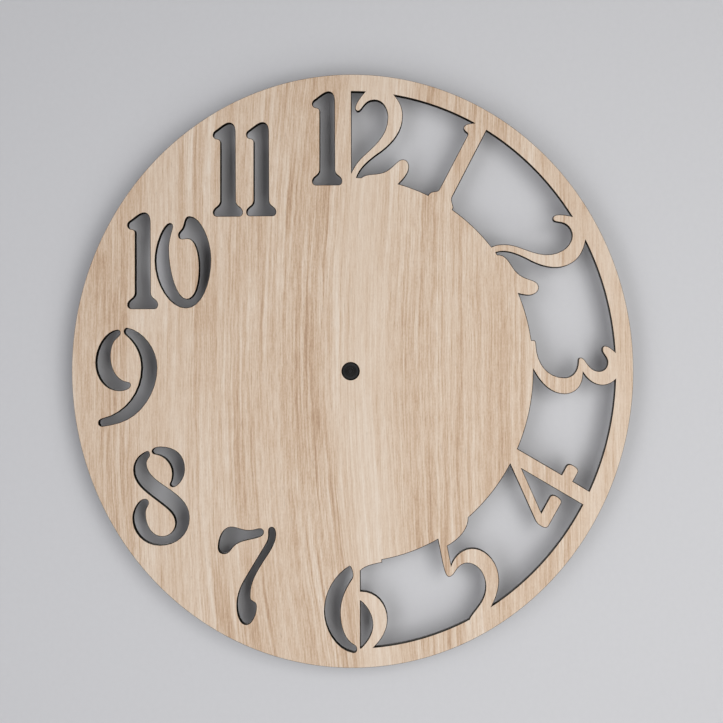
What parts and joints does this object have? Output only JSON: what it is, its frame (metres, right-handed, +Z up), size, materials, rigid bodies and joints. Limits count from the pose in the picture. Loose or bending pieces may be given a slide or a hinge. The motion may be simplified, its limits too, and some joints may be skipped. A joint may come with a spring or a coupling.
{
  "type": "wall clock",
  "caption": "Oval wooden wall clock, numerals cut out on the left and left standing in an open ring on the right, with a black quartz movement behind it.",
  "frame": {"origin": "on the arbor axis, in the wall plane that the case back lies in", "axes": "Z up, X right as seen from the front; the dial faces -Y and the wall is on +Y"},
  "size_m": [0.284, 0.028, 0.3],
  "materials": {
    "dial_wood": "bare oak veneer board, laser-cut, edges scorched dark brown",
    "foam": "dark grey adhesive foam",
    "case_plastic": "black, fine spark-eroded texture",
    "post_plastic": "black acetal, satin",
    "plate_plastic": "off-white, matt",
    "gear_plastic": "natural acetal, satin",
    "gear_red": "red acetal, satin",
    "steel": "zinc-plated, brushed",
    "dark_steel": "blackened",
    "contact_metal": "nickel-plated spring steel",
    "cell_can": "drawn steel can, plain",
    "cell_sleeve": "teal film with a pale ring and a grey end, no lettering",
    "board": "green solder mask",
    "blob": "black epoxy",
    "magnet": "sintered, dark grey",
    "copper": "enamelled copper wire",
    "iron_sheet": "stamped soft iron",
    "brass": "stamped brass strip"
  },
  "bodies": {
    "movement": {"dial_panel": "dial_wood", "foam_pad": "foam", "case_front": "case_plastic", "case_back": "case_plastic", "middle_plate": "plate_plastic", "wall_hanger": "steel", "contact_positive": "contact_metal", "contact_negative": "contact_metal", "circuit_board": "board", "chip_blob": "blob", "quartz_crystal": "steel", "coil_bobbin": "plate_plastic", "coil_winding": "copper", "coil_core": "iron_sheet", "stator_plate": "iron_sheet"},
    "battery": {"battery_cell": "cell_can", "battery_sleeve": "cell_sleeve"},
    "rotor": {"rotor_magnet": "magnet", "rotor_pinion": "gear_plastic"},
    "intermediate": {"intermediate_wheel": "gear_plastic"},
    "seconds": {"seconds_wheel": "gear_red", "seconds_arbor": "dark_steel"},
    "third": {"third_wheel": "gear_plastic"},
    "centre": {"centre_wheel": "gear_plastic"},
    "minute": {"minute_arbor": "post_plastic", "clutch_spring": "brass"},
    "minute_work": {"minute_wheel": "gear_plastic"},
    "hour": {"hour_wheel": "post_plastic"},
    "setting": {"setting_knob": "post_plastic"}
  },
  "joints": [
    {"name": "seconds_spin", "type": "hinge", "parent": "movement", "child": "seconds", "pos_m": [0, -0.01, 0], "axis": [0, 1, 0], "continuous": true},
    {"name": "intermediate_spin", "type": "hinge", "parent": "movement", "child": "intermediate", "pos_m": [-0.00909, -0.005, 0.00525], "axis": [0, 1, 0], "continuous": true},
    {"name": "rotor_spin", "type": "hinge", "parent": "movement", "child": "rotor", "pos_m": [-0.01759, -0.005, 0.00525], "axis": [0, 1, 0], "continuous": true},
    {"name": "third_spin", "type": "hinge", "parent": "movement", "child": "third", "pos_m": [0.00958, -0.005, 0.00349], "axis": [0, 1, 0], "continuous": true},
    {"name": "centre_spin", "type": "hinge", "parent": "movement", "child": "centre", "pos_m": [0, -0.0066, 0], "axis": [0, 1, 0], "continuous": true},
    {"name": "minute_spin", "type": "hinge", "parent": "movement", "child": "minute", "pos_m": [0, -0.015, 0], "axis": [0, 1, 0], "continuous": true},
    {"name": "minute_wheel_spin", "type": "hinge", "parent": "movement", "child": "minute_work", "pos_m": [-0.0013, -0.0115, 0.00739], "axis": [0, 1, 0], "continuous": true},
    {"name": "hour_spin", "type": "hinge", "parent": "movement", "child": "hour", "pos_m": [0, -0.015, 0], "axis": [0, 1, 0], "continuous": true},
    {"name": "setting_spin", "type": "hinge", "parent": "movement", "child": "setting", "pos_m": [-0.0013, -0.002, 0.01551], "axis": [0, 1, 0], "continuous": true},
    {"name": "battery_slide", "type": "slide", "parent": "movement", "child": "battery", "axis": [0, 1, 0], "range_m": [0, 0.02]}
  ],
  "couplings": [
    {"joint": "intermediate_spin", "follows": "seconds_spin", "ratio": -4},
    {"joint": "rotor_spin", "follows": "seconds_spin", "ratio": 30},
    {"joint": "third_spin", "follows": "seconds_spin", "ratio": -0.13333},
    {"joint": "centre_spin", "follows": "seconds_spin", "ratio": 0.016667},
    {"joint": "minute_wheel_spin", "follows": "minute_spin", "ratio": -0.33333},
    {"joint": "hour_spin", "follows": "minute_spin", "ratio": 0.083333},
    {"joint": "setting_spin", "follows": "minute_spin", "ratio": 0.75}
  ]
}
